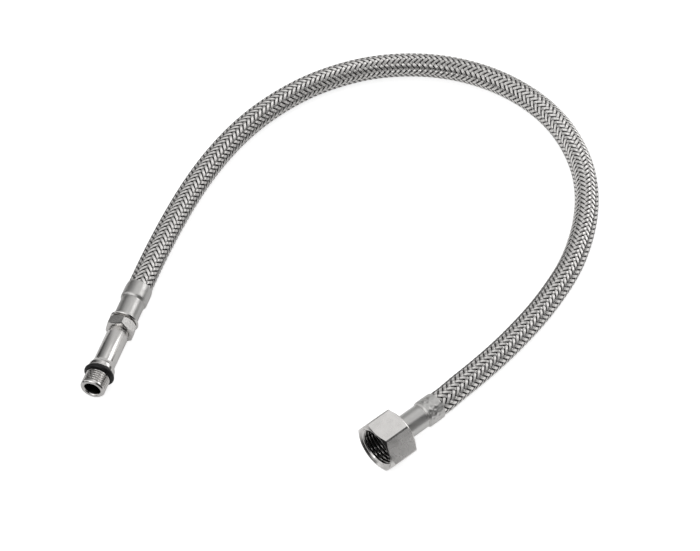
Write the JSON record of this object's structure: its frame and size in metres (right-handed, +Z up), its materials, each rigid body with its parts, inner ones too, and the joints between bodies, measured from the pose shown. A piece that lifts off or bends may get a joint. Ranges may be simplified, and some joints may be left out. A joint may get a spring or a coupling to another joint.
{
  "type": "flexible tap hose",
  "caption": "Flexible braided water hose with a long threaded tail and O-ring at one end and a swivel hexagon nut with gasket at the other, laid in a loop.",
  "frame": {"origin": "on the floor under the middle of the box around the end fittings, the free hose left out", "axes": "+Z up from the floor, +Y along the threaded tail towards the hose, +X from the tail towards the nut"},
  "size_m": [0.1725, 0.2148, 0.019],
  "materials": {
    "plated_brass": "nickel-plated, turned",
    "steel_sleeve": "bright, crimped",
    "steel_wire": "woven wire",
    "rubber": "matt"
  },
  "bodies": {
    "hose": {"tap_tail": "plated_brass", "tap_o_ring": "rubber", "tap_ferrule": "steel_sleeve", "inner_hose": "rubber", "steel_braid": "steel_wire", "nut_ferrule": "steel_sleeve", "nut_nipple": "plated_brass", "gasket": "rubber"},
    "nut": {"union_nut": "plated_brass"}
  },
  "joints": [
    {"name": "nut_spin", "type": "hinge", "parent": "hose", "child": "nut", "pos_m": [0.05318, -0.01637, 0.0095], "axis": [0.5188, 0.8549, 0], "continuous": true}
  ]
}
